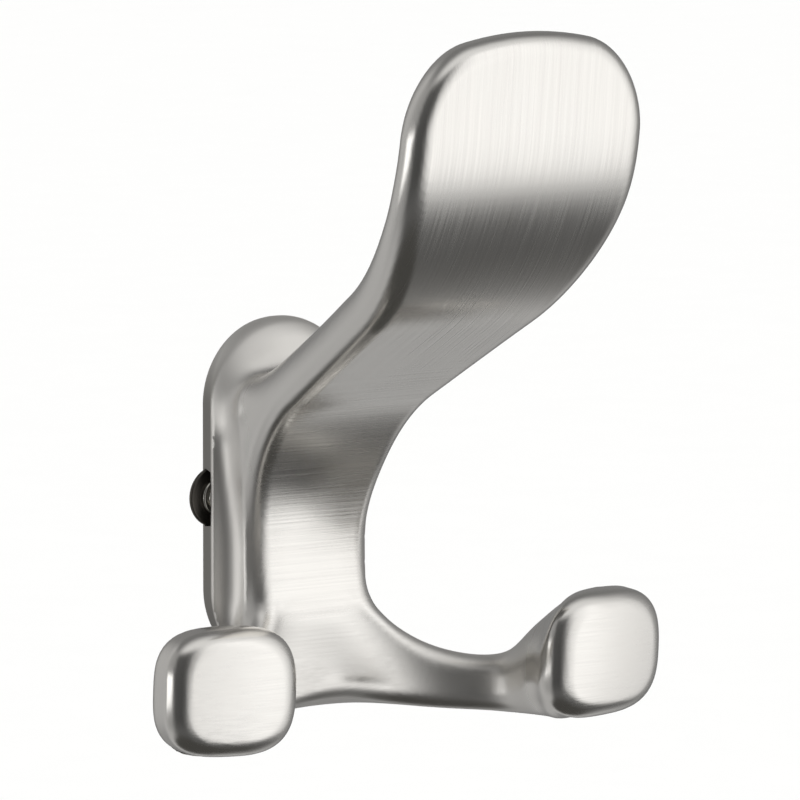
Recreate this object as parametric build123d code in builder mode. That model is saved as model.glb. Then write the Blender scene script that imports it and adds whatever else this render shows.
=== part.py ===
"""Triple coat hook, cast in one piece, with two short screws and washers at its base.

The wall is the plane Y = 0 and the hook stands out from it towards -Y.
+Z is up, X = 0 is the plane of symmetry, and Z = 0 is the middle of the base.
All sizes are in millimetres and degrees.
"""

import os
from math import cos, exp, radians, sin

from build123d import *

# Base: an oblong plate whose rim narrows towards the wall, hollow at the back
base_width = 28.6
base_height = 56.6
base_crown = 0.227 * base_width
base_corner = 0.49 * base_width
rim_depth = 3.9
rim_undercut = 1.05
rim_wall = 1.7
hollow_depth = 2.7

# Flank: the hollow-sided rise from the rim to the waist
flank_rise = 6.0
flank_inset = 4.2
flank_sag = 1.0
flank_lap = 0.6

# Root fill: the hollow-faced filling of the corner above the ribbon's root
fill_run = 4.8
fill_sag = 0.5
fill_lap = 0.2
fill_width = 25.0

# Ribbon, from the side: waist, sloping upper arm and upright paddle
waist_level = -8.3
waist_projection = 10.7
crook_radius = 31.0
toe_angle = 24.0
arm_slope_angle = 59.5
arm_straight_length = 25.0
paddle_bend = 43.0
paddle_lean_angle = 5.5
paddle_top = 76.9
paddle_thickness = 6.2
root_slope_angle = 61.5
ribbon_edge = 1.7

# Ribbon, from the front: widths far from the wall, which a pinch narrows towards its root
root_pinch = 4.2
pinch_length = 20.0
waist_width = 26.3
neck_width = 30.2
neck_level = 6.0
arm_width = 34.5
arm_level = 22.5
paddle_width = 42.3
paddle_level = 50.0
shoulder_width = 41.8
shoulder_level = 63.0
paddle_crown = 4.2
paddle_corner = 13.0

# Lower arms: bars that bend sideways and forward to the pads
bar_projection = 11.0
bar_bend = 36.0
bar_bottom = -33.0
bar_drop = 1.6
bar_height = 8.6
bar_thickness = 6.4
bar_corner = 2.5
web_lean_angle = 30.0
web_setback = 1.0
web_height = 20.5
web_thickness = 8.0
web_spread_angle = 22.0
bar_angle = 54.0
horn_angle = 44.0
horn_lap = 1.0
flare_angle = 57.0
flare_bottom = -35.5
flare_height = 13.0
flare_thickness = 9.0

# Pads: rounded squares at the ends of the lower arms
pad_offset = 36.2
pad_projection = 40.6
pad_level = -24.2
pad_width = 23.0
pad_height = 20.4
pad_corner = 9.2
pad_thickness = 5.0
pad_edge = 1.7
pad_lap = 0.5
pad_splay_angle = 5.0
pad_lean_angle = 3.0

# Screws and washers at the sides of the base
screw_inset = 2.65
screw_spacing = base_width - 2 * screw_inset
screw_clearance = 0.15
shank_diameter = 3.0
head_diameter = 6.4
head_height = 0.9
head_edge = 0.5
groove_diameter = 4.6
groove_width = 0.5
groove_depth = 0.3
recess_diameter = 1.8
recess_depth = 0.5
washer_diameter = 9.5
washer_thickness = 0.6
washer_edge = 0.2
pocket_ceiling = 3.4
lug_thickness = 0.8
lug_width = 7.0
lug_height = 14.0


def base_outline(projection, inset):
    """Outline of the base at a distance from the wall, drawn in by an inset."""
    half_width = base_width / 2 - inset
    half_height = base_height / 2 - inset
    shoulder = half_height - base_crown
    with BuildSketch(Plane.XZ.offset(projection)) as outline:
        with BuildLine():
            Line((half_width, -shoulder), (half_width, shoulder))
            ThreePointArc((half_width, shoulder), (0, half_height), (-half_width, shoulder))
            Line((-half_width, shoulder), (-half_width, -shoulder))
            ThreePointArc((-half_width, -shoulder), (0, -half_height), (half_width, -shoulder))
        make_face()
        fillet(outline.vertices(), base_corner - inset)
    return outline.sketch


def ribbon_outline(projection):
    """Front outline of the ribbon at a distance from the wall, narrowed by the pinch."""
    pinch = root_pinch * exp(-projection / pinch_length)
    waist = waist_width / 2 - pinch
    shoulder = shoulder_width / 2 - pinch
    with BuildSketch(Plane.XZ.offset(projection)) as outline:
        with BuildLine():
            right = Spline(
                (shoulder, shoulder_level),
                (paddle_width / 2 - pinch, paddle_level),
                (arm_width / 2 - pinch, arm_level),
                (neck_width / 2 - pinch, neck_level),
                (waist, waist_level),
                tangents=[(0, -1), (0, -1)],
            )
            mirror(right, about=Plane.YZ)
            crown_end = paddle_top - paddle_crown
            crown = ThreePointArc((-shoulder, crown_end), (0, paddle_top), (shoulder, crown_end))
            Line(crown @ 1, right @ 0)
            Line(crown @ 0, (-shoulder, shoulder_level))
            Polyline((waist, waist_level), (waist, bar_bottom), (-waist, bar_bottom), (-waist, waist_level))
        make_face()
        fillet(outline.vertices().group_by(Axis.Y)[-1], paddle_corner)
    return outline.sketch


def bar_section(turn, bottom, height, thickness, lean=0, setback=0):
    """Rounded section of the lower bar where it has turned forward by an angle, right or left."""
    angle = radians(turn)
    back = Vector(sin(angle), cos(angle), 0)
    along = Vector(cos(angle), -sin(angle), 0)
    across = back * cos(radians(lean)) - Vector(0, 0, sin(radians(lean)))
    rise = height / 2 * cos(radians(lean)) + thickness / 2 * sin(radians(lean))
    middle = Vector(0, -bar_projection - bar_bend, bottom + rise) + back * (bar_bend + setback)
    with BuildSketch(Plane(middle, x_dir=across, z_dir=along)) as section:
        RectangleRounded(thickness, height, bar_corner)
    return section.sketch


def pad_outline(side, depth, inset):
    """Outline of a pad at a depth behind its face, with side 1 for the right and -1 for the left."""
    across = Vector(side, 0, 0).rotate(Axis.Z, side * pad_splay_angle)
    normal = Vector(0, -1, 0).rotate(Axis.X, pad_lean_angle).rotate(Axis.Z, side * pad_splay_angle)
    middle = Vector(side * pad_offset, -pad_projection, pad_level) - normal * depth
    with BuildSketch(Plane(middle, x_dir=across, z_dir=normal * side)) as outline:
        RectangleRounded(pad_width - 2 * inset, pad_height - 2 * inset, pad_corner - inset)
    return outline.sketch


# Ribbon: the side profile across the full width, trimmed by the front outline
with BuildPart() as ribbon:
    with BuildSketch(Plane.YZ):
        with BuildLine():
            crook = JernArc((-waist_projection, waist_level), (0, 1), crook_radius, arm_slope_angle)
            slope = PolarLine(crook @ 1, arm_straight_length, 90 + arm_slope_angle)
            bend = JernArc(slope @ 1, slope % 1, paddle_bend, paddle_lean_angle - arm_slope_angle)
            tip_run = (paddle_top - (bend @ 1).Y) / cos(radians(paddle_lean_angle)) + paddle_thickness
            tip = PolarLine(bend @ 1, tip_run, 90 + paddle_lean_angle)
            top = PolarLine(tip @ 1, paddle_thickness, paddle_lean_angle)
            tip_back = PolarLine(top @ 1, tip_run, 270 + paddle_lean_angle)
            inner_bend = paddle_bend - paddle_thickness
            back = JernArc(tip_back @ 1, tip_back % 1, inner_bend, root_slope_angle - paddle_lean_angle)
            root_run = (-rim_depth - (back @ 1).X) / sin(radians(root_slope_angle))
            root = PolarLine(back @ 1, root_run, 270 + root_slope_angle)
            toe = JernArc((-waist_projection, waist_level), (0, -1), crook_radius, -toe_angle)
            Polyline(root @ 1, (-rim_depth, (toe @ 1).Y), toe @ 1)
        make_face()
    extrude(amount=paddle_width, both=True)
    reach = -(tip @ 1).X + paddle_thickness
    trims = [ribbon_outline(reach * share) for share in (0, 0.15, 0.4, 1)]
    loft(trims, mode=Mode.INTERSECT)
    rims = ribbon.edges().filter_by(Axis.X, reverse=True).filter_by(Axis.Y, reverse=True)
    fillet(rims.filter_by(lambda rim: rim.center().Y < -rim_depth - ribbon_edge), ribbon_edge)

# Flank: the hollow-sided rise from the rim, cut off above along the line of the ribbon's back
with BuildPart() as flank:
    loft(
        [
            base_outline(rim_depth - flank_lap, flank_lap),
            base_outline(rim_depth + flank_rise / 2, flank_inset / 2 + flank_sag),
            base_outline(rim_depth + flank_rise, flank_inset),
        ]
    )
    with BuildSketch(Plane.YZ):
        with BuildLine():
            low_front = ((root @ 0).X, -base_height)
            low_back = (0, -base_height)
            high_back = (0, (root @ 1).Y)
            Polyline(root @ 1, root @ 0, low_front, low_back, high_back, root @ 1)
        make_face()
    extrude(amount=base_width, both=True, mode=Mode.INTERSECT)

# Root fill: a prism in the corner between the plate and the ribbon's back
with BuildPart() as root_fill:
    with BuildSketch(Plane.YZ):
        with BuildLine():
            slope_back = Vector(-sin(radians(root_slope_angle)), cos(radians(root_slope_angle)))
            slope_in = Vector(-slope_back.Y, slope_back.X)
            plate_low = root @ 1 + Vector(fill_lap, 0)
            plate_high = plate_low + Vector(0, fill_run)
            ribbon_low = root @ 1 + slope_in * fill_lap
            ribbon_high = ribbon_low + slope_back * fill_run
            SagittaArc(plate_high, ribbon_high, fill_sag)
            Polyline(ribbon_high, ribbon_low, plate_low, plate_high)
        make_face()
    extrude(amount=fill_width / 2, both=True)

# Right pad: a plate with a rounded front edge
with BuildPart() as pad:
    extrude(pad_outline(1, pad_thickness, 0), amount=pad_thickness)
    fillet(pad.faces().sort_by(Axis.Y)[0].edges(), pad_edge)

# Right horn: the flare that starts inside the bar and opens to its pad
with BuildPart() as horn:
    horn_bottom = bar_bottom - bar_drop * horn_angle / bar_angle + horn_lap / 2
    flares = [
        bar_section(horn_angle, horn_bottom, bar_height - horn_lap, bar_thickness - horn_lap),
        bar_section(flare_angle, flare_bottom, flare_height, flare_thickness),
        pad_outline(1, pad_thickness - pad_lap, pad_lap),
    ]
    loft(flares, ruled=True)
    add(pad.part)

# Lower arms: one bar from side to side, full as a web at the waist and slim beside it, with its horns
with BuildPart() as arms:
    sections = []
    for share in (-1, -0.75, -0.5, -0.25, 0, 0.25, 0.5, 0.75, 1):
        turn = bar_angle * share
        web = exp(-((turn / web_spread_angle) ** 2))
        bottom = bar_bottom - bar_drop * abs(share)
        height = bar_height + (web_height - bar_height) * web
        thickness = bar_thickness + (web_thickness - bar_thickness) * web
        lean = web_lean_angle * web
        setback = web_setback * web
        sections.append(bar_section(turn, bottom, height, thickness, lean, setback))
    loft(sections)
    add(horn.part)
    mirror(horn.part, about=Plane.YZ)

# Hook: base, flank, ribbon and both arms as one casting, then hollowed at the back
with BuildPart() as hook_casting:
    loft([base_outline(0, rim_undercut), base_outline(rim_depth, 0)])
    add(flank.part)
    add(ribbon.part)
    add(root_fill.part)
    add(arms.part)
    extrude(base_outline(0, rim_undercut + rim_wall), amount=hollow_depth, mode=Mode.SUBTRACT)
    # Lugs under the washers, inside the outline of the back
    with BuildSketch(Plane.XZ) as lugs:
        with GridLocations(screw_spacing, 0, 2, 1):
            Rectangle(lug_width, lug_height)
        add(base_outline(0, rim_undercut), mode=Mode.INTERSECT)
    extrude(amount=lug_thickness)
    # Round pockets over the lugs, which break through the rim as notches
    with BuildSketch(Plane.XZ.offset(lug_thickness)):
        with GridLocations(screw_spacing, 0, 2, 1):
            Circle(washer_diameter / 2 + screw_clearance)
    extrude(amount=pocket_ceiling - lug_thickness, mode=Mode.SUBTRACT)
    with BuildSketch(Plane.XZ):
        with GridLocations(screw_spacing, 0, 2, 1):
            Circle(shank_diameter / 2 + screw_clearance)
    extrude(amount=lug_thickness, mode=Mode.SUBTRACT)

# Washers, resting on the lugs
with BuildPart() as screw_washers:
    with BuildSketch(Plane.XZ.offset(lug_thickness)):
        with GridLocations(screw_spacing, 0, 2, 1):
            Circle(washer_diameter / 2)
            Circle(shank_diameter / 2 + screw_clearance, mode=Mode.SUBTRACT)
    extrude(amount=washer_thickness)
    outer_edges = screw_washers.edges().filter_by(GeomType.CIRCLE).group_by(SortBy.RADIUS)[-1]
    chamfer(outer_edges, washer_edge)

# Screws: flat heads with a ring groove and a centre recess, shanks ending at the wall
with BuildPart() as fixing_screws:
    head_base = lug_thickness + washer_thickness
    head_face = head_base + head_height
    with BuildSketch(Plane.XZ):
        with GridLocations(screw_spacing, 0, 2, 1):
            Circle(shank_diameter / 2)
    extrude(amount=head_base)
    with BuildSketch(Plane.XZ.offset(head_base)):
        with GridLocations(screw_spacing, 0, 2, 1):
            Circle(head_diameter / 2)
    extrude(amount=head_height)
    head_edges = fixing_screws.edges().filter_by(GeomType.CIRCLE).group_by(Axis.Y)[0]
    fillet(head_edges, head_edge)
    with BuildSketch(Plane.XZ.offset(head_face)):
        with GridLocations(screw_spacing, 0, 2, 1):
            Circle(groove_diameter / 2 + groove_width / 2)
            Circle(groove_diameter / 2 - groove_width / 2, mode=Mode.SUBTRACT)
    extrude(amount=-groove_depth, mode=Mode.SUBTRACT)
    with BuildSketch(Plane.XZ.offset(head_face)):
        with GridLocations(screw_spacing, 0, 2, 1):
            Circle(recess_diameter / 2)
    extrude(amount=-recess_depth, mode=Mode.SUBTRACT)

os.makedirs("parts", exist_ok=True)
hook_casting.part.label = "hook_casting"
export_step(hook_casting.part, "parts/hook_casting.step")
screw_washers.part.label = "screw_washers"
export_step(screw_washers.part, "parts/screw_washers.step")
fixing_screws.part.label = "fixing_screws"
export_step(fixing_screws.part, "parts/fixing_screws.step")
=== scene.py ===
"""Satin nickel coat hook with its screws and washers, seen in a plain studio.

The frame is the one of the solid model: the wall is Y = 0, the hook stands out towards -Y, +Z is up.
Sizes are given in millimetres and turned into metres where meshes are made.
In the shape functions x is the distance from the middle plane, f the distance from the wall,
and z the height.
"""

import math

import bpy
import numpy as np
import openvdb
from mathutils import Matrix, Vector


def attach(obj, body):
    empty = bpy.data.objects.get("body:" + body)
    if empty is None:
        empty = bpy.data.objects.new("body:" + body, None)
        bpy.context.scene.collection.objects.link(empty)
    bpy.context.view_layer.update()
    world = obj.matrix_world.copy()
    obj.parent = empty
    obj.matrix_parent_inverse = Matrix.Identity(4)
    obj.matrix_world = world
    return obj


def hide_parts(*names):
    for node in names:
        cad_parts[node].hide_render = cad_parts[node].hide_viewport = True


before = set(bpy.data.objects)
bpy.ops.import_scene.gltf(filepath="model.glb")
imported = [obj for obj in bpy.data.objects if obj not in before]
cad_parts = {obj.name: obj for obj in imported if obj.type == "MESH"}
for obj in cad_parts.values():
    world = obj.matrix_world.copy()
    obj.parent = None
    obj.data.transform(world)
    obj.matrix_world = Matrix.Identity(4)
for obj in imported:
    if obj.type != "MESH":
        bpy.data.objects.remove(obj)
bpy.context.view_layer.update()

MM = 0.001

# Base plate and flank
base_half_width = 14.3
base_half_height = 28.4
base_corner = 14.0
rim_depth = 3.9
rim_undercut = 1.05
rim_wall = 1.7
rim_edge = 0.4
rim_top_edge = 4.0
plate_bulge = 3.2
plate_bulge_reach = 14.0
plate_bulge_limit = 1.5
rim_spread = 4.0
hollow_depth = 2.7
flank_rise = 4.2
flank_inset = 3.5
flank_sag = 0.7

# Ribbon, from the side
waist_level = -8.3
waist_projection = 10.95
crook_radius = 28.6
toe_level = -20.0
toe_edge = 4.0
arm_slope = math.radians(59.5)
arm_straight = 26.2
paddle_bend = 42.5
paddle_lean = math.radians(5.5)
paddle_thickness = 5.9
root_slope = math.radians(61.5)
back_swell = 1.9
swell_rise = (-6.0, 12.0)
swell_fall = (34.0, 52.0)

# Ribbon, from the front
width_levels = (-8.3, 4.0, 14.0, 24.0, 36.0, 50.0, 63.0)
half_widths = (13.3, 14.8, 15.6, 16.5, 18.7, 21.6, 21.8)
root_pinch = 3.6
pinch_length = 20.0
paddle_top = 76.6
crown_radius = 54.1
paddle_corner = 10.5
ribbon_edge = 3.2
back_edge = 2.2
back_root_edge = 5.0
back_edge_low = 26.0
back_edge_high = 48.0

# Lower arms: a bar that turns forward, with a web at the waist and a horn at the pad
bar_centre = 47.0
bar_bend = 36.0
bar_turn = math.radians(60.0)
bar_height = 8.3
bar_thickness = 6.4
bar_edge = 3.1
web_length = 13.8
web_height = 11.9
web_thickness = 1.6
web_lean = math.radians(30.0)
web_setback = 1.0
horn_lengths = (0.0, 24.0, 29.0, 32.5, 35.8, 39.0, 44.0)
horn_shares = (0.0, 0.0, 0.05, 0.28, 0.8, 1.25, 1.6)
horn_bottoms = (-33.5, -34.3, -34.4, -34.5, -34.5, -34.4, -34.0)
horn_height = 5.7
horn_thickness = 8.0
horn_edge = 2.8
bar_end = 44.0

# Pads
pad_offset = 35.7
pad_projection = 42.05
pad_level = -24.3
pad_half_width = 11.5
pad_half_height = 10.05
pad_squareness = 3.1
pad_crown = 0.9
pad_crown_limit = 3.0
pad_thickness = 5.2
pad_taper = 0.2
pad_edge = 2.8
pad_back_edge = 0.9
pad_splay = math.radians(5.0)
pad_lean = math.radians(3.0)
pad_roll = math.radians(1.2)

# How far the surfaces of two forms run into each other
rim_flow = 1.2
crease_flow = 4.0
root_flow = 15.0
root_low = 8.0
root_high = 20.0
web_flow = 2.0
web_side_flow = 5.0
web_side_near = 7.0
web_side_far = 13.0
pad_flow = 11.0
pad_spread = 0.12
pad_soften = 1.5

# Screws and washers
screw_count = 2
screw_spacing = 23.3
head_radius = 2.9
head_height = 1.5
step_radius = 2.2
step_height = 0.8
head_edge = 0.35
recess_depth = 0.5
recess_bevel = 0.06
recess_floor_radius = 0.84
recess_wall_radius = 0.9
recess_mouth_radius = 0.98
shank_radius = 1.5
lug_thickness = 0.8
lug_inner = 8.15
lug_outer = 12.6
lug_half_height = 7.0
washer_radius = 4.75
washer_thickness = 0.6
washer_edge = 0.3
hole_radius = 1.65
pocket_radius = 4.9
pocket_ceiling = 3.45

# Cutting forms, by their distance from the wall: they start behind what they cut, and lap it a little
cut_start = -4.0
lug_start = -1.0
cut_lap = 0.1
wall_half_width = 60.0
wall_start = -10.0

# Fineness and reach of the casting's mesh, which is closed behind the wall and cut off there
cell = 0.5
grid_half_width = 49.0
grid_depths = (-2.0, 72.0)
grid_levels = (-38.0, 79.0)
closing_plane = -1.5
settled_plane = -1.0
settle_steps = 4
probe = 0.02
least_steepness = 0.25
casting_sharp = math.radians(40.0)
turned_sharp = math.radians(35.0)

# Where the plating changes: pairs in which a mask rises, as shares of a normal
facing_shares = (0.25, 0.75)
facing_tilt = 0.35
side_shares = (0.35, 0.75)

# The same by place, in millimetres: heights, distances from the wall and from the middle plane
upright_levels = (14.0, 30.0)
brushed_depths = (4.0, 9.0)
low_arm_levels = (-24.0, -16.0)
low_arm_depths = (31.0, 35.0)
low_arm_dullness = 0.7
flank_depths = (6.0, 15.0)
flank_offsets = (4.0, 12.0)
base_depths = (6.0, 9.0)
# Where painted shade darkens the rim's side: distances from the wall and heights at which it fades out
rim_shade_depths = (3.2, 3.7)
rim_shade_levels = (14.0, 25.0)


def round_corner(a, b, radius):
    """Outside corner of two forms with a round edge."""
    outside = np.hypot(np.maximum(a + radius, 0), np.maximum(b + radius, 0))
    return np.minimum(np.maximum(a, b), -radius) + outside


def flow_together(a, b, reach):
    """Two forms joined, with the inside corner between them filled smoothly over a reach."""
    near = np.maximum(reach - np.abs(a - b), 0) / reach
    return np.minimum(a, b) - near**3 * reach / 6


def smooth_step(low, high, value):
    """Rises softly from 0 to 1 between two values."""
    t = np.clip((value - low) / (high - low), 0, 1)
    return t * t * (3 - 2 * t)


def smooth_curve(places, values):
    """A function for the smooth curve through some values, level at both ends."""
    places = np.array(places)
    values = np.array(values)
    steps = np.diff(places)
    rates = np.diff(values) / steps
    count = len(places)
    matrix = np.eye(count)
    sums = np.zeros(count)
    for i in range(1, count - 1):
        matrix[i, i - 1] = 1 / steps[i - 1]
        matrix[i, i] = 2 / steps[i - 1] + 2 / steps[i]
        matrix[i, i + 1] = 1 / steps[i]
        sums[i] = 3 * (rates[i - 1] / steps[i - 1] + rates[i] / steps[i])
    slopes = np.linalg.solve(matrix, sums)

    def curve(place):
        place = np.clip(place, places[0], places[-1])
        i = np.clip(np.searchsorted(places, place) - 1, 0, count - 2)
        t = (place - places[i]) / steps[i]
        ease = t * t * (3 - 2 * t)
        bow = t * (1 - t) * ((1 - t) * slopes[i] - t * slopes[i + 1]) * steps[i]
        plain = values[i] + ease * (values[i + 1] - values[i])
        return plain + bow

    return curve


half_width_at = smooth_curve(width_levels, half_widths)
horn_at = smooth_curve(horn_lengths, horn_shares)
bar_bottom_at = smooth_curve(horn_lengths, horn_bottoms)

# Corners of the ribbon's side line, as distance from the wall and height
crook_middle = (waist_projection + crook_radius, waist_level)
slope_start = (
    crook_middle[0] - crook_radius * math.cos(arm_slope),
    crook_middle[1] + crook_radius * math.sin(arm_slope),
)
slope_end = (
    slope_start[0] + arm_straight * math.sin(arm_slope),
    slope_start[1] + arm_straight * math.cos(arm_slope),
)
bend_middle = (
    slope_end[0] - paddle_bend * math.cos(arm_slope),
    slope_end[1] + paddle_bend * math.sin(arm_slope),
)
tip_start = (
    bend_middle[0] + paddle_bend * math.cos(paddle_lean),
    bend_middle[1] - paddle_bend * math.sin(paddle_lean),
)
inner_bend = paddle_bend - paddle_thickness
root_start = (
    bend_middle[0] + inner_bend * math.cos(root_slope),
    bend_middle[1] - inner_bend * math.sin(root_slope),
)


def along(f, z, start, angle):
    """Run from a start point in the direction that leans forward by an angle from upright."""
    return (f - start[0]) * math.sin(angle) + (z - start[1]) * math.cos(angle)


def ahead(f, z, start, angle):
    """Distance in front of the line through a start point that leans forward by an angle."""
    return (f - start[0]) * math.cos(angle) - (z - start[1]) * math.sin(angle)


def ribbon_front(f, z):
    """Distance in front of the ribbon's front face, in the side view."""
    crook = crook_radius - np.hypot(np.minimum(f - crook_middle[0], 0), z - crook_middle[1])
    slope = ahead(f, z, slope_start, arm_slope)
    bend = np.hypot(f - bend_middle[0], z - bend_middle[1]) - paddle_bend
    tip = ahead(f, z, tip_start, paddle_lean)
    run = along(f, z, slope_start, arm_slope)
    upper = np.where(along(f, z, tip_start, paddle_lean) < 0, bend, tip)
    return np.where(run < 0, crook, np.where(run < arm_straight, slope, upper))


def ribbon_back(f, z):
    """Distance behind the ribbon's back face, in the side view."""
    root = -ahead(f, z, root_start, root_slope)
    bend = inner_bend - np.hypot(np.maximum(f - bend_middle[0], 0), np.minimum(z - bend_middle[1], 0))
    tip = -ahead(f, z, tip_start, paddle_lean) - paddle_thickness
    upper = np.where(along(f, z, tip_start, paddle_lean) < 0, bend, tip)
    return np.where(along(f, z, root_start, root_slope) < 0, root, upper)


def ribbon_outline(x, f, z):
    """Distance outside the ribbon's outline, in the front view."""
    side = x - half_width_at(z) + root_pinch * np.exp(-np.maximum(f, 0) / pinch_length)
    top = np.hypot(x, z - paddle_top + crown_radius) - crown_radius
    return round_corner(side, top, paddle_corner)


def base_outline(x, z):
    """Distance outside the base's outline, in the front view."""
    return round_corner(x - base_half_width, np.abs(z) - base_half_height, base_corner)


def lower_arm(x, f, z):
    """Distance outside the lower arm's bar, which turns forward and then runs straight to the pad."""
    turn = np.arctan2(x, np.maximum(bar_centre - f, 0.001))
    sin_end = math.sin(bar_turn)
    cos_end = math.cos(bar_turn)
    off_end = x - bar_bend * sin_end
    out_end = f - bar_centre + bar_bend * cos_end
    straight = turn > bar_turn
    past_bend = bar_bend * bar_turn + off_end * cos_end + out_end * sin_end
    run = np.where(straight, past_bend, bar_bend * turn)
    back = np.where(
        straight,
        off_end * sin_end - out_end * cos_end,
        np.hypot(x, bar_centre - f) - bar_bend,
    )
    web = np.exp(-((run / web_length) ** 2))
    horn = horn_at(run)
    height = bar_height + web_height * web + horn_height * horn
    thickness = bar_thickness + web_thickness * web + horn_thickness * horn
    lean = web_lean * web
    rise = z - bar_bottom_at(run) - height / 2 * np.cos(lean) - thickness / 2 * np.sin(lean)
    back = back - web_setback * web
    wide = np.abs(back * np.cos(lean) - rise * np.sin(lean)) - thickness / 2
    high = np.abs(back * np.sin(lean) + rise * np.cos(lean)) - height / 2
    return np.maximum(round_corner(wide, high, bar_edge + horn_edge * horn), run - bar_end)


def lower_arm_and_pad(x, f, z):
    """Distance outside the bar and its pad, a plate with rounded edges, with the flare between them."""
    bar = lower_arm(x, f, z)
    x = x - pad_offset
    f = f - pad_projection
    z = z - pad_level
    across = x * math.cos(pad_splay) - f * math.sin(pad_splay)
    out = x * math.sin(pad_splay) + f * math.cos(pad_splay)
    front = out * math.cos(pad_lean) - z * math.sin(pad_lean)
    rise = out * math.sin(pad_lean) + z * math.cos(pad_lean)
    rise = rise - across * math.tan(pad_roll)
    wide = np.abs(across) / pad_half_width
    high = np.abs(rise) / pad_half_height
    outline = (wide**pad_squareness + high**pad_squareness) ** (1 / pad_squareness)
    outline = (outline - 1) * pad_half_height
    behind = -front - pad_thickness - pad_taper * across
    plate = round_corner(outline, behind, pad_back_edge)
    flare = flow_together(bar, plate, pad_flow)
    behind = np.maximum(behind, 0)
    flare = -flow_together(-flare, pad_spread * behind**2 - outline, pad_soften)
    front = front + pad_crown * np.minimum(wide**2 + high**2, pad_crown_limit)
    return round_corner(flare, front, pad_edge)


def casting(x, f, z):
    """Distance outside the whole casting, before its back is hollowed."""
    x = np.abs(x)
    slope = smooth_step(*swell_rise, z) * (1 - smooth_step(*swell_fall, z))
    back = ribbon_back(f, z) - back_swell * slope
    outline = ribbon_outline(x, f, z)
    front = round_corner(ribbon_front(f, z), toe_level - z, toe_edge)
    edge_share = smooth_step(back_edge_low, back_edge_high, z)
    behind = back_root_edge + (back_edge - back_root_edge) * edge_share
    front_half = round_corner(front, outline, ribbon_edge)
    ribbon = np.maximum(front_half, round_corner(back, outline, behind))
    rim = base_outline(x, z)
    shortfall = np.maximum(1 + np.maximum(rim, -plate_bulge_reach) / plate_bulge_reach, 0)
    bulge = plate_bulge * (1 - np.minimum(shortfall, plate_bulge_limit) ** 2)
    narrowing = rim_undercut * (1 - f / rim_depth)
    edge = rim_edge + (rim_top_edge - rim_edge) * smooth_step(root_low, root_high, z)
    plate = round_corner(rim + np.maximum(narrowing, 0), f - rim_depth - bulge, edge)
    share = (f - rim_depth) / flank_rise
    inset = flank_inset * share + 4 * flank_sag * share * (1 - share)
    steepness = (flank_inset + 4 * flank_sag * (1 - 2 * np.clip(share, 0, 1))) / flank_rise
    flank = (rim + inset) / np.sqrt(1 + steepness**2)
    flank = round_corner(np.maximum(flank, f - rim_depth - flank_rise), back, back_root_edge)
    arm = lower_arm_and_pad(x, f, z)
    base = flow_together(plate, flank, rim_flow)
    reach = crease_flow + (root_flow - crease_flow) * smooth_step(root_low, root_high, z)
    web_reach = web_flow + web_side_flow * smooth_step(web_side_near, web_side_far, x)
    body = flow_together(flow_together(ribbon, arm, web_reach), base, reach)
    limit = rim + np.maximum(narrowing, 0) - rim_spread * np.maximum(f - rim_depth, 0)
    return np.maximum(body, limit)


def casting_mesh():
    """Points and four-sided faces of the casting's skin, in metres, in the row's frame."""
    xs = np.arange(-grid_half_width, grid_half_width + cell / 2, cell)
    fs = np.arange(grid_depths[0], grid_depths[1] + cell / 2, cell)
    zs = np.arange(grid_levels[0], grid_levels[1] + cell / 2, cell)
    half = len(xs) // 2
    right = casting(xs[half:, None, None], fs[None, :, None], zs[None, None, :])
    right = np.maximum(right, closing_plane - fs[None, :, None])
    field = np.concatenate([right[:0:-1], right]).astype(np.float32)
    grid = openvdb.FloatGrid(float(field.max()))
    grid.copyFromArray(field)
    points, threes, fours = grid.convertToPolygons(isovalue=0.0, adaptivity=0.0)
    points = points.astype(float) * cell + (xs[0], fs[0], zs[0])
    # The skin is drawn to the exact surface in a few small steps
    x, f, z = points.T.copy()
    for _ in range(settle_steps):
        away = casting(x, f, z)
        gx = (casting(x + probe, f, z) - casting(x - probe, f, z)) / (2 * probe)
        gf = (casting(x, f + probe, z) - casting(x, f - probe, z)) / (2 * probe)
        gz = (casting(x, f, z + probe) - casting(x, f, z - probe)) / (2 * probe)
        move = np.clip(away, -cell, cell) / np.maximum(gx**2 + gf**2 + gz**2, least_steepness)
        move = np.where(f > settled_plane, move, 0)
        x = x - move * gx
        f = f - move * gf
        z = z - move * gz
    return np.column_stack([x, -f, z]) * MM, fours


def mesh_object(name, points, faces):
    """A mesh object in the scene from points in metres and faces."""
    mesh = bpy.data.meshes.new(name)
    mesh.from_pydata(points, [], faces)
    mesh.update()
    made = bpy.data.objects.new(name, mesh)
    bpy.context.scene.collection.objects.link(made)
    return made


def prism(name, outline, low, high):
    """A straight prism from an outline of x and z, between two distances from the wall."""
    count = len(outline)
    points = [(x * MM, -low * MM, z * MM) for x, z in outline]
    points += [(x * MM, -high * MM, z * MM) for x, z in outline]
    sides = [(i, (i + 1) % count, count + (i + 1) % count, count + i) for i in range(count)]
    ends = [tuple(range(count))[::-1], tuple(range(count, 2 * count))]
    return mesh_object(name, points, sides + ends)


def circle(x_middle, radius, count=72):
    """Points of a circle about a screw's axis."""
    turns = [2 * math.pi * i / count for i in range(count)]
    return [(x_middle + radius * math.cos(t), radius * math.sin(t)) for t in turns]


def hollow_outline(inset, count=160, farthest=60.0, halvings=40):
    """Points of the base's outline, drawn in by an inset."""
    points = []
    for i in range(count):
        turn = 2 * math.pi * i / count
        low = 0.0
        high = farthest
        for _ in range(halvings):
            middle = (low + high) / 2
            reach = base_outline(abs(middle * math.cos(turn)), middle * math.sin(turn))
            if reach + inset < 0:
                low = middle
            else:
                high = middle
        points.append((low * math.cos(turn), low * math.sin(turn)))
    return points


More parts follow.
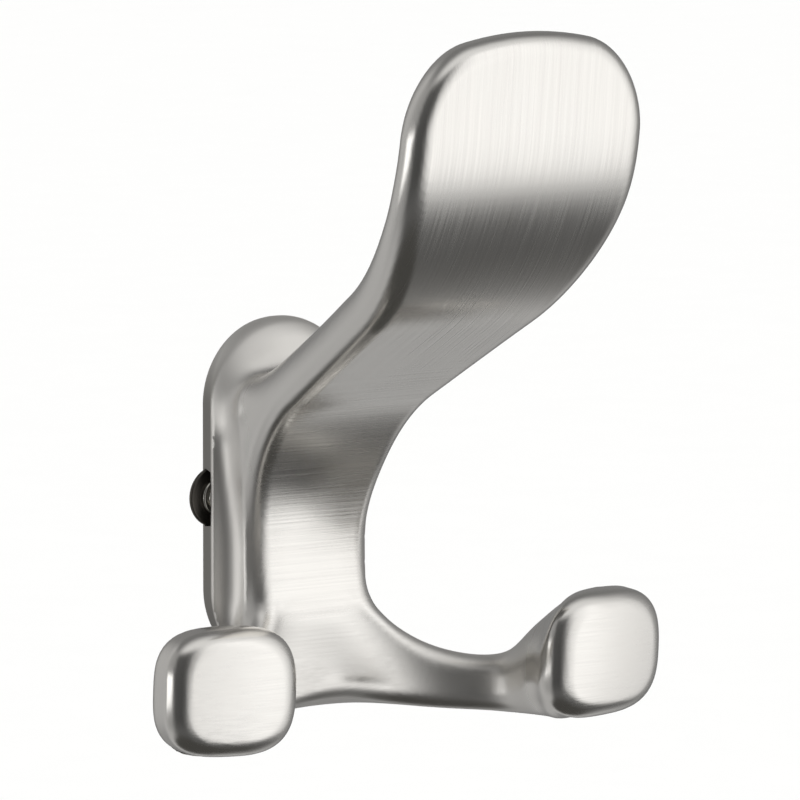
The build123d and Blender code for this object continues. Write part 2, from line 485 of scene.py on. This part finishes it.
def outward(made):
    """Turns the faces of a closed mesh outward."""
    mesh = made.data
    mesh.calc_loop_triangles()
    triangles = mesh.loop_triangles[:]
    corners = np.array([[mesh.vertices[i].co[:] for i in t.vertices] for t in triangles])
    volume = np.einsum("ij,ij->i", corners[:, 0], np.cross(corners[:, 1], corners[:, 2])).sum()
    if volume < 0:
        mesh.flip_normals()


def cut(made, tool, way):
    """Cuts a tool's form out of a piece, or joins it on, and clears the tool away."""
    outward(tool)
    change = made.modifiers.new("cut", "BOOLEAN")
    change.operation = way
    change.solver = "MANIFOLD"
    change.object = tool
    settled = made.evaluated_get(bpy.context.evaluated_depsgraph_get())
    mesh = bpy.data.meshes.new_from_object(settled)
    made.modifiers.remove(change)
    before = made.data
    made.data = mesh
    bpy.data.meshes.remove(before)
    bpy.data.objects.remove(tool)


def add_node(tree, kind, settings=None, inputs=None):
    """Adds a node, sets its settings, and gives its inputs values or links."""
    node = tree.nodes.new(kind)
    for name, value in (settings or {}).items():
        setattr(node, name, value)
    for name, value in (inputs or {}).items():
        if isinstance(value, bpy.types.NodeSocket):
            tree.links.new(value, node.inputs[name])
        else:
            node.inputs[name].default_value = value
    return node


def colour(hex_code):
    """Linear colour from an sRGB hex code."""
    shares = [int(hex_code[i : i + 2], 16) / 255 for i in (1, 3, 5)]
    linear = [s / 12.92 if s <= 0.04045 else ((s + 0.055) / 1.055) ** 2.4 for s in shares]
    return (*linear, 1.0)


def blank_material(name):
    """A new material with an empty node tree."""
    made = bpy.data.materials.new(name)
    made.use_nodes = True
    made.node_tree.nodes.clear()
    return made


# Casting: one flowing skin, then the hollow, lugs, pockets and holes at the back
points, faces = casting_mesh()
hook = mesh_object("hook_casting_skin", points, faces.tolist())
outward(hook)
inside_rim = hollow_outline(rim_undercut + rim_wall)
cut(hook, prism("hollow", inside_rim, cut_start, hollow_depth), "DIFFERENCE")
for side in (-1, 1):
    lug = [
        (side * lug_inner, -lug_half_height),
        (side * lug_outer, -lug_half_height),
        (side * lug_outer, lug_half_height),
        (side * lug_inner, lug_half_height),
    ]
    cut(hook, prism("lug", lug, lug_start, lug_thickness), "UNION")
for side in (-1, 1):
    axis = side * screw_spacing / 2
    pocket = prism("pocket", circle(axis, pocket_radius), lug_thickness, pocket_ceiling)
    cut(hook, pocket, "DIFFERENCE")
    hole = prism("hole", circle(axis, hole_radius), cut_start, lug_thickness + cut_lap)
    cut(hook, hole, "DIFFERENCE")
wall = [
    (-wall_half_width, -wall_half_width),
    (wall_half_width, -wall_half_width),
    (wall_half_width, wall_half_width),
    (-wall_half_width, wall_half_width),
]
cut(hook, prism("wall", wall, wall_start, 0), "DIFFERENCE")

# Masks: brushed up and down on the paddle and from side to side lower down, duller at the root
# and low arms, and painted shade that darkens the rim near the wall
count = len(hook.data.vertices)
places = np.empty(count * 3)
hook.data.vertices.foreach_get("co", places)
places = places.reshape(-1, 3) / MM
off_middle = np.abs(places[:, 0])
off_wall = -places[:, 1]
level = places[:, 2]
normals = np.empty(count * 3)
hook.data.vertices.foreach_get("normal", normals)
normals = normals.reshape(-1, 3)
facing = smooth_step(*facing_shares, -normals[:, 1] - facing_tilt * normals[:, 2])
side_on = 1 - smooth_step(*side_shares, np.abs(normals[:, 0]))
upright = smooth_step(*upright_levels, level)
brushed = facing * side_on * smooth_step(*brushed_depths, off_wall)
low_arms = 1 - smooth_step(*low_arm_levels, level)
low_arms = low_arms * (1 - smooth_step(*low_arm_depths, off_wall))
flank_side = (1 - smooth_step(*flank_depths, off_wall)) * smooth_step(*flank_offsets, off_middle)
dull = np.maximum(1 - smooth_step(*base_depths, off_wall), flank_side)
dull = np.maximum(dull, low_arm_dullness * low_arms)
# Painted shade: the rim's side is darkened close to the wall and low down, fading out towards the top
rim_painted_shade = (1 - smooth_step(*rim_shade_depths, off_wall)) * (1 - smooth_step(*rim_shade_levels, level))
masks = {"brushed": brushed, "brushed_upright": upright, "dull": dull, "rim_painted_shade": rim_painted_shade}
for name, values in masks.items():
    mask = hook.data.attributes.new(name, "FLOAT", "POINT")
    mask.data.foreach_set("value", values)

# Satin nickel plating over the polished casting, brushed on its front faces: a warm grey metal
# whose reflections are soft, and drawn out across the brush lines
nickel = blank_material("satin nickel plating, brushed")
tree = nickel.node_tree
coords = add_node(tree, "ShaderNodeTexCoord").outputs["Object"]
# Real brush lines are near 0.1 mm apart; they are drawn 0.35 mm apart so that they show at all
line_pitch = 0.35 * MM
line_length = 28 * MM
line_depth = 0.02 * MM
line_bump = 0.6
patch_size = 14 * MM
# Most of a noise's values lie between these two
noise_low = 0.3
noise_high = 0.7
# Roughness of the patches, and what the lines and the dull mask add to it
patch_roughness = (0.2, 0.25)
line_roughness = (-0.05, 0.07)
dull_roughness = 0.22
upright_scale = (1 / line_pitch, 1 / line_length, 1 / line_length)
across_scale = (1 / line_length, 1 / line_pitch, 1 / line_pitch)
upright_place = add_node(tree, "ShaderNodeMapping", None, {"Vector": coords, "Scale": upright_scale})
across_place = add_node(tree, "ShaderNodeMapping", None, {"Vector": coords, "Scale": across_scale})
line_kind = {"Scale": 1.0, "Detail": 3.0, "Roughness": 0.6}
upright_lines = add_node(
    tree, "ShaderNodeTexNoise", None, {"Vector": upright_place.outputs["Vector"], **line_kind}
)
across_lines = add_node(
    tree, "ShaderNodeTexNoise", None, {"Vector": across_place.outputs["Vector"], **line_kind}
)
upright_mask = add_node(tree, "ShaderNodeAttribute", {"attribute_name": "brushed_upright"})
brushed_mask = add_node(tree, "ShaderNodeAttribute", {"attribute_name": "brushed"})
lines = add_node(
    tree,
    "ShaderNodeMix",
    {"data_type": "FLOAT"},
    {
        "Factor": upright_mask.outputs["Fac"],
        "A": across_lines.outputs["Fac"],
        "B": upright_lines.outputs["Fac"],
    },
)
patches = add_node(
    tree, "ShaderNodeTexNoise", None, {"Vector": coords, "Scale": 1 / patch_size, "Detail": 2.0}
)
line_gloss = add_node(
    tree,
    "ShaderNodeMapRange",
    None,
    {
        "Value": lines.outputs["Result"],
        "From Min": noise_low,
        "From Max": noise_high,
        "To Min": line_roughness[0],
        "To Max": line_roughness[1],
    },
)
brushed_gloss = add_node(
    tree,
    "ShaderNodeMath",
    {"operation": "MULTIPLY"},
    {0: line_gloss.outputs["Result"], 1: brushed_mask.outputs["Fac"]},
)
patch_gloss = add_node(
    tree,
    "ShaderNodeMapRange",
    None,
    {
        "Value": patches.outputs["Fac"],
        "From Min": noise_low,
        "From Max": noise_high,
        "To Min": patch_roughness[0],
        "To Max": patch_roughness[1],
    },
)
front_gloss = add_node(
    tree,
    "ShaderNodeMath",
    {"operation": "ADD"},
    {0: patch_gloss.outputs["Result"], 1: brushed_gloss.outputs["Value"]},
)
dull_mask = add_node(tree, "ShaderNodeAttribute", {"attribute_name": "dull"})
gloss = add_node(
    tree,
    "ShaderNodeMath",
    {"operation": "MULTIPLY_ADD"},
    {0: dull_mask.outputs["Fac"], 1: dull_roughness, 2: front_gloss.outputs["Value"]},
)
plated = add_node(
    tree,
    "ShaderNodeMix",
    {"data_type": "RGBA"},
    {6: colour("#DAD7D2"), 7: colour("#E2E0DC"), 0: patches.outputs["Fac"]},
)
rim_shade_mask = add_node(tree, "ShaderNodeAttribute", {"attribute_name": "rim_painted_shade"})
# Painted shade: near the wall the rim's plating is mixed towards a darker grey
tint = add_node(
    tree,
    "ShaderNodeMix",
    {"data_type": "RGBA"},
    {6: plated.outputs[2], 7: colour("#96938E"), 0: rim_shade_mask.outputs["Fac"]},
)
line_strength = add_node(
    tree,
    "ShaderNodeMath",
    {"operation": "MULTIPLY"},
    {0: brushed_mask.outputs["Fac"], 1: line_bump},
)
scratches = add_node(
    tree,
    "ShaderNodeBump",
    None,
    {
        "Strength": line_strength.outputs["Value"],
        "Distance": line_depth,
        "Height": lines.outputs["Result"],
    },
)
metal = add_node(
    tree,
    "ShaderNodeBsdfPrincipled",
    None,
    {
        "Base Color": tint.outputs[2],
        "Metallic": 1.0,
        "Roughness": gloss.outputs["Value"],
        "Normal": scratches.outputs["Normal"],
    },
)
add_node(tree, "ShaderNodeOutputMaterial", None, {"Surface": metal.outputs["BSDF"]})
hook.data.materials.clear()
hook.data.materials.append(nickel)
hook.data.shade_smooth()
hook.data.set_sharp_from_angle(angle=casting_sharp)
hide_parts("hook_casting")
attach(hook, "root")


def turned_steel(name, dark, light, smoothest, roughest, ring_pitch):
    """Steel with fine rings from the lathe, read from the radius kept on each point."""
    made = blank_material(name)
    tree = made.node_tree
    radius = add_node(tree, "ShaderNodeAttribute", {"attribute_name": "turned_radius"})
    rings = add_node(
        tree,
        "ShaderNodeTexNoise",
        {"noise_dimensions": "1D"},
        {"W": radius.outputs["Fac"], "Scale": 1 / ring_pitch, "Detail": 2.0},
    )
    gloss = add_node(
        tree,
        "ShaderNodeMapRange",
        None,
        {
            "Value": rings.outputs["Fac"],
            "From Min": noise_low,
            "From Max": noise_high,
            "To Min": smoothest,
            "To Max": roughest,
        },
    )
    tint = add_node(
        tree,
        "ShaderNodeMix",
        {"data_type": "RGBA"},
        {6: colour(dark), 7: colour(light), 0: rings.outputs["Fac"]},
    )
    steel = add_node(
        tree,
        "ShaderNodeBsdfPrincipled",
        None,
        {"Base Color": tint.outputs[2], "Metallic": 1.0, "Roughness": gloss.outputs["Result"]},
    )
    add_node(tree, "ShaderNodeOutputMaterial", None, {"Surface": steel.outputs["BSDF"]})
    return made


def turned(name, profile, count=64):
    """A form turned about an axis square to the wall, from radius and distance from the wall."""
    points = []
    radii = []
    rows = []
    for radius, out in profile:
        if radius == 0:
            rows.append([len(points)] * count)
            points.append((0, -out * MM, 0))
            radii.append(0)
            continue
        rows.append(list(range(len(points), len(points) + count)))
        for i in range(count):
            turn = 2 * math.pi * i / count
            points.append((radius * math.cos(turn) * MM, -out * MM, radius * math.sin(turn) * MM))
            radii.append(radius * MM)
    faces = []
    for start, end in zip(rows, rows[1:]):
        for i in range(count):
            corners = (start[i], start[(i + 1) % count], end[(i + 1) % count], end[i])
            faces.append(tuple(dict.fromkeys(corners)))
    made = mesh_object(name, points, faces)
    kept = made.data.attributes.new("turned_radius", "FLOAT", "POINT")
    kept.data.foreach_set("value", radii)
    outward(made)
    made.data.shade_smooth()
    made.data.set_sharp_from_angle(angle=turned_sharp)
    return made


def set_in_a_row(name, master, material):
    """Sets copies of a small part at the screw places, and keeps them as one plain mesh."""
    tree = bpy.data.node_groups.new(name, "GeometryNodeTree")
    kinds = {"Part": "Object", "Count": "Int", "Spacing": "Float", "Finish": "Material"}
    wanted = {}
    for label, kind in kinds.items():
        wanted[label] = tree.interface.new_socket(
            label, in_out="INPUT", socket_type=f"NodeSocket{kind}"
        )
    tree.interface.new_socket("Row", in_out="OUTPUT", socket_type="NodeSocketGeometry")
    given = add_node(tree, "NodeGroupInput").outputs
    half = add_node(tree, "ShaderNodeMath", {"operation": "MULTIPLY"}, {0: given["Spacing"], 1: -0.5})
    start = add_node(tree, "ShaderNodeCombineXYZ", None, {"X": half.outputs["Value"]})
    step = add_node(tree, "ShaderNodeCombineXYZ", None, {"X": given["Spacing"]})
    places = add_node(
        tree,
        "GeometryNodeMeshLine",
        {"mode": "OFFSET"},
        {"Count": given["Count"], "Start Location": start.outputs[0], "Offset": step.outputs[0]},
    )
    part = add_node(tree, "GeometryNodeObjectInfo", None, {"Object": given["Part"], "As Instance": True})
    copies = add_node(
        tree,
        "GeometryNodeInstanceOnPoints",
        None,
        {"Points": places.outputs["Mesh"], "Instance": part.outputs["Geometry"]},
    )
    solid = add_node(
        tree, "GeometryNodeRealizeInstances", None, {"Geometry": copies.outputs["Instances"]}
    )
    finish = add_node(
        tree,
        "GeometryNodeSetMaterial",
        None,
        {"Geometry": solid.outputs["Geometry"], "Material": given["Finish"]},
    )
    add_node(tree, "NodeGroupOutput", None, {"Row": finish.outputs["Geometry"]})
    made = mesh_object(name, [], [])
    row = made.modifiers.new("row", "NODES")
    row.node_group = tree
    settings = {"Part": master, "Count": screw_count, "Spacing": screw_spacing * MM, "Finish": material}
    for label, value in settings.items():
        row[wanted[label].identifier] = value
    settled = made.evaluated_get(bpy.context.evaluated_depsgraph_get())
    mesh = bpy.data.meshes.new_from_object(settled)
    made.modifiers.remove(row)
    made.data = mesh
    bpy.data.objects.remove(master)
    return made


def quarter_round(radius, face, edge, count=8):
    """Profile points of a round edge between a face and the side of a turned form."""
    turns = [math.pi / 2 * i / count for i in range(count + 1)]
    return [(radius - edge + edge * math.sin(t), face - edge + edge * math.cos(t)) for t in turns]


# Screws: turned heads with two round-edged steps and a centre recess
head_base = lug_thickness + washer_thickness
head_face = head_base + head_height
head_step = head_base + step_height
recess_floor = head_face - recess_depth
screw_profile = [
    (0, recess_floor),
    (recess_floor_radius, recess_floor),
    (recess_wall_radius, head_face - recess_bevel),
    (recess_mouth_radius, head_face),
]
screw_profile += quarter_round(step_radius, head_face, head_edge)
screw_profile += [(step_radius, head_step)]
screw_profile += quarter_round(head_radius, head_step, head_edge)
screw_profile += [(head_radius, head_base), (shank_radius, head_base), (shank_radius, 0), (0, 0)]
# Plain turned steel: bright rings that catch the light one by one
screw_finish = turned_steel(
    "plain steel, turned",
    dark="#A9A69F",
    light="#D8D5CE",
    smoothest=0.16,
    roughest=0.3,
    ring_pitch=0.12 * MM,
)
screws = set_in_a_row("fixing_screws_turned", turned("screw", screw_profile), screw_finish)
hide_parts("fixing_screws")
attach(screws, "root")

# Washers: flat rings with a round outer edge
washer_face = lug_thickness + washer_thickness
washer_profile = [(hole_radius, lug_thickness), (hole_radius, washer_face)]
washer_profile += quarter_round(washer_radius, washer_face, washer_edge)
washer_profile += [(washer_radius, lug_thickness), (hole_radius, lug_thickness)]
# Dark oxidised steel: a dull black-brown face with faint rings
washer_finish = turned_steel(
    "dark oxidised steel, pressed",
    dark="#4A4743",
    light="#625E58",
    smoothest=0.34,
    roughest=0.46,
    ring_pitch=0.4 * MM,
)
washers = set_in_a_row("screw_washers_pressed", turned("washer", washer_profile), washer_finish)
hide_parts("screw_washers")
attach(washers, "root")

# Floor: a pale sheet well below the hook, left out of the reflections
floor_level = -130 * MM
floor_reach = 6000 * MM
floor_corners = [
    (-floor_reach, -floor_reach, floor_level),
    (floor_reach, -floor_reach, floor_level),
    (floor_reach, floor_reach, floor_level),
    (-floor_reach, floor_reach, floor_level),
]
floor = mesh_object("floor", floor_corners, [(0, 1, 2, 3)])
# Pale matt paper: a flat near-white; its fibres are too fine to show, so a faint coarse mottle stands in
mottle_size = 16.667 * MM
paper = blank_material("pale studio paper")
tree = paper.node_tree
coords = add_node(tree, "ShaderNodeTexCoord").outputs["Object"]
fibres = add_node(
    tree,
    "ShaderNodeTexNoise",
    None,
    {"Vector": coords, "Scale": 1 / mottle_size, "Detail": 3.0},
)
shade = add_node(
    tree,
    "ShaderNodeMix",
    {"data_type": "RGBA"},
    {6: colour("#FAFAF9"), 7: colour("#FCFCFB"), 0: fibres.outputs["Fac"]},
)
sheet = add_node(
    tree,
    "ShaderNodeBsdfPrincipled",
    None,
    {"Base Color": shade.outputs[2], "Roughness": 0.9},
)
add_node(tree, "ShaderNodeOutputMaterial", None, {"Surface": sheet.outputs["BSDF"]})
floor.data.materials.append(paper)
floor.visible_glossy = False

# Studio: even white light on the paper, and for the metal a ring of soft boxes and dark gaps
world = bpy.data.worlds.new("studio")
bpy.context.scene.world = world
world.use_nodes = True
tree = world.node_tree
tree.nodes.clear()
direction = add_node(tree, "ShaderNodeTexCoord").outputs["Generated"]
parts = add_node(tree, "ShaderNodeSeparateXYZ", None, {"Vector": direction}).outputs
front = add_node(tree, "ShaderNodeMath", {"operation": "MULTIPLY"}, {0: parts["Y"], 1: -1.0})
turn = add_node(
    tree, "ShaderNodeMath", {"operation": "ARCTAN2"}, {0: parts["X"], 1: front.outputs["Value"]}
)
turn_share = add_node(
    tree,
    "ShaderNodeMapRange",
    None,
    {"Value": turn.outputs["Value"], "From Min": -math.pi, "From Max": math.pi},
)
ring = add_node(tree, "ShaderNodeValToRGB", None, {"Fac": turn_share.outputs["Result"]})
# Brightness by direction: degrees to the right of straight ahead of the hook
ring_light = (
    (-180, 0.26),
    (-165, 0.4),
    (-150, 0.56),
    (-125, 0.4),
    (-95, 0.32),
    (-85, 0.22),
    (-75, 0.08),
    (-40, 0.06),
    (-25, 0.12),
    (-8, 0.6),
    (8, 1.05),
    (26, 1.22),
    (36, 1.45),
    (46, 1.15),
    (62, 0.9),
    (85, 0.35),
    (120, 0.2),
    (180, 0.26),
)
brightest = max(light for _, light in ring_light)
stops = ring.color_ramp.elements
while len(stops) < len(ring_light):
    stops.new(0.5)
for stop, (degrees, light) in zip(stops, ring_light):
    stop.position = (degrees + 180) / 360
    share = light / brightest
    stop.color = (share, share, share, 1)
# Soft steps by direction: the part of it that is read, the two limits, and the value at each
studio_steps = {
    "below": ("Z", (-0.44, -0.7), (0.0, 1.0)),
    "nadir": ("Z", (-0.74, -0.88), (0.0, 1.0)),
    "above": ("Z", (0.6, 0.85), (0.0, 1.0)),
    "ground": ("Y", (-0.25, 0.45), (0.085, 0.36)),
    "ceiling": ("Y", (-0.35, 0.3), (0.6, 0.13)),
}
soft = {"interpolation_type": "SMOOTHSTEP"}
steps = {}
for name, (axis, limits, values) in studio_steps.items():
    made = add_node(
        tree,
        "ShaderNodeMapRange",
        soft,
        {
            "Value": parts[axis],
            "From Min": limits[0],
            "From Max": limits[1],
            "To Min": values[0],
            "To Max": values[1],
        },
    )
    steps[name] = made.outputs["Result"]
nadir_light = (0.05, 0.049, 0.046, 1)
layers = (("below", steps["ground"]), ("nadir", nadir_light), ("above", steps["ceiling"]))
room = ring.outputs["Color"]
for name, light in layers:
    made = add_node(tree, "ShaderNodeMix", {"data_type": "RGBA"}, {0: steps[name], 6: room, 7: light})
    room = made.outputs[2]
# The side box is the bright strip that the left edges show, as bright as the ring's brightest part;
# it reaches so far to each side of its middle, in radians, and of its level, as a share of a direction
box_middle = math.radians(-110)
box_turn = 0.32
box_level = -0.09
box_height = 0.14
box_softness = 0.2
inside = []
for way, middle, half in (
    (turn.outputs["Value"], box_middle, box_turn),
    (parts["Z"], box_level, box_height),
):
    off = add_node(tree, "ShaderNodeMath", {"operation": "SUBTRACT"}, {0: way, 1: middle})
    away = add_node(tree, "ShaderNodeMath", {"operation": "ABSOLUTE"}, {0: off.outputs["Value"]})
    made = add_node(
        tree,
        "ShaderNodeMapRange",
        soft,
        {
            "Value": away.outputs["Value"],
            "From Min": half * (1 + box_softness),
            "From Max": half * (1 - box_softness),
        },
    )
    inside.append(made.outputs["Result"])
box_light = add_node(tree, "ShaderNodeMath", {"operation": "MULTIPLY"}, {0: inside[0], 1: inside[1]})
with_box = add_node(
    tree,
    "ShaderNodeVectorMath",
    {"operation": "ADD"},
    {0: room, 1: box_light.outputs["Value"]},
)
soft_boxes = add_node(
    tree, "ShaderNodeBackground", None, {"Color": with_box.outputs["Vector"], "Strength": brightest}
)
even_strength = 1.06
even_light = add_node(
    tree, "ShaderNodeBackground", None, {"Color": (1, 1, 1, 1), "Strength": even_strength}
)
rays = add_node(tree, "ShaderNodeLightPath").outputs
lit = add_node(
    tree,
    "ShaderNodeMixShader",
    None,
    {0: rays["Is Glossy Ray"], 1: even_light.outputs[0], 2: soft_boxes.outputs[0]},
)
add_node(tree, "ShaderNodeOutputWorld", None, {"Surface": lit.outputs[0]})

# Camera: from the left and a little above, far off with a long lens
camera_turn = math.radians(36)
camera_lift = math.radians(7)
camera_distance = 1600 * MM
camera_target = Vector((1.67, -31.64, 17.20)) * MM
focal_length = 468
sensor_width = 36
level_share = math.cos(camera_lift)
back = Vector(
    (-math.sin(camera_turn) * level_share, -math.cos(camera_turn) * level_share, math.sin(camera_lift))
)
right = Vector((math.cos(camera_turn), -math.sin(camera_turn), 0))
up = back.cross(right)
lens = bpy.data.cameras.new("camera")
lens.lens = focal_length
lens.sensor_width = sensor_width
lens.clip_start = 100 * MM
lens.clip_end = 30000 * MM
camera = bpy.data.objects.new("camera", lens)
place = Matrix.Translation(camera_target + back * camera_distance)
camera.matrix_world = place @ Matrix((right, up, back)).transposed().to_4x4()
bpy.context.scene.collection.objects.link(camera)
bpy.context.scene.camera = camera
bpy.context.scene.view_settings.view_transform = "Standard"
